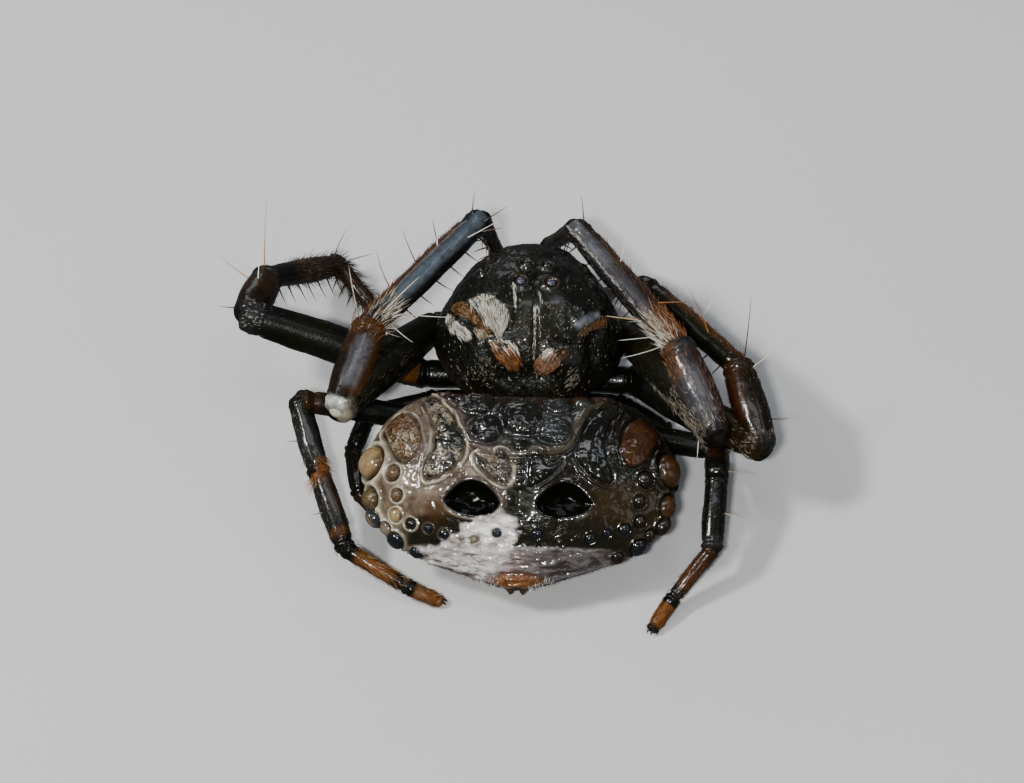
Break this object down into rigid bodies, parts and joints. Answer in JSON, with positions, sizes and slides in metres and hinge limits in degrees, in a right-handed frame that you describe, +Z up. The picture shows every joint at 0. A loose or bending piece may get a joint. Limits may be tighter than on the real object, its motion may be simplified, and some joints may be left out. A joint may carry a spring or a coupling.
{
  "type": "bird-dropping spider model",
  "caption": "Still life-size model of a bird-dropping spider at rest, its legs folded at the sides and a broad, knobbed abdomen with dark eye-like spots.",
  "frame": {"origin": "on the floor under the middle of the model's outline", "axes": "+Z up, the head toward -Y, the spider's left side toward +X, so the model's longest extent lies along X"},
  "size_m": [0.0148, 0.0116, 0.0049],
  "materials": {
    "black_shell": "glossy black chitin, finely granular, with bluish highlights",
    "brown_shell": "semi-gloss dark red-brown chitin with darker joints",
    "foot_orange": "satin orange-brown chitin with dark bands",
    "abdomen_skin": "wet-looking mottled cream, brown and black skin with knobs and plates",
    "eye": "polished black"
  },
  "bodies": {
    "root": {"abdomen": "abdomen_skin", "cephalothorax": "black_shell", "chelicera_left": "black_shell", "chelicera_right": "black_shell", "eye_lateral_front_left": "eye", "eye_lateral_front_right": "eye", "eye_lateral_rear_left": "eye", "eye_lateral_rear_right": "eye", "eye_median_front_left": "eye", "eye_median_front_right": "eye", "eye_median_rear_left": "eye", "eye_median_rear_right": "eye", "leg_left_1_coxa": "black_shell", "leg_left_1_femur": "black_shell", "leg_left_1_foot": "foot_orange", "leg_left_1_patella": "black_shell", "leg_left_1_tibia": "black_shell", "leg_left_2_coxa": "black_shell", "leg_left_2_femur": "black_shell", "leg_left_2_foot": "foot_orange", "leg_left_2_patella": "black_shell", "leg_left_2_tibia": "black_shell", "leg_left_3_coxa": "black_shell", "leg_left_3_femur": "black_shell", "leg_left_3_foot": "foot_orange", "leg_left_3_patella": "black_shell", "leg_left_3_tibia": "black_shell", "leg_left_4_coxa": "brown_shell", "leg_left_4_femur": "brown_shell", "leg_left_4_foot": "foot_orange", "leg_left_4_patella": "brown_shell", "leg_left_4_tibia": "brown_shell", "leg_right_1_coxa": "black_shell", "leg_right_1_femur": "black_shell", "leg_right_1_foot": "foot_orange", "leg_right_1_patella": "black_shell", "leg_right_1_tibia": "black_shell", "leg_right_2_coxa": "black_shell", "leg_right_2_femur": "black_shell", "leg_right_2_foot": "foot_orange", "leg_right_2_patella": "black_shell", "leg_right_2_tibia": "black_shell", "leg_right_3_coxa": "black_shell", "leg_right_3_femur": "black_shell", "leg_right_3_foot": "foot_orange", "leg_right_3_patella": "black_shell", "leg_right_3_tibia": "black_shell", "leg_right_4_coxa": "brown_shell", "leg_right_4_femur": "brown_shell", "leg_right_4_foot": "foot_orange", "leg_right_4_patella": "brown_shell", "leg_right_4_tibia": "brown_shell", "palp_left": "brown_shell", "palp_right": "brown_shell", "pedicel": "black_shell", "spinnerets": "abdomen_skin", "sternum": "black_shell"}
  },
  "joints": []
}
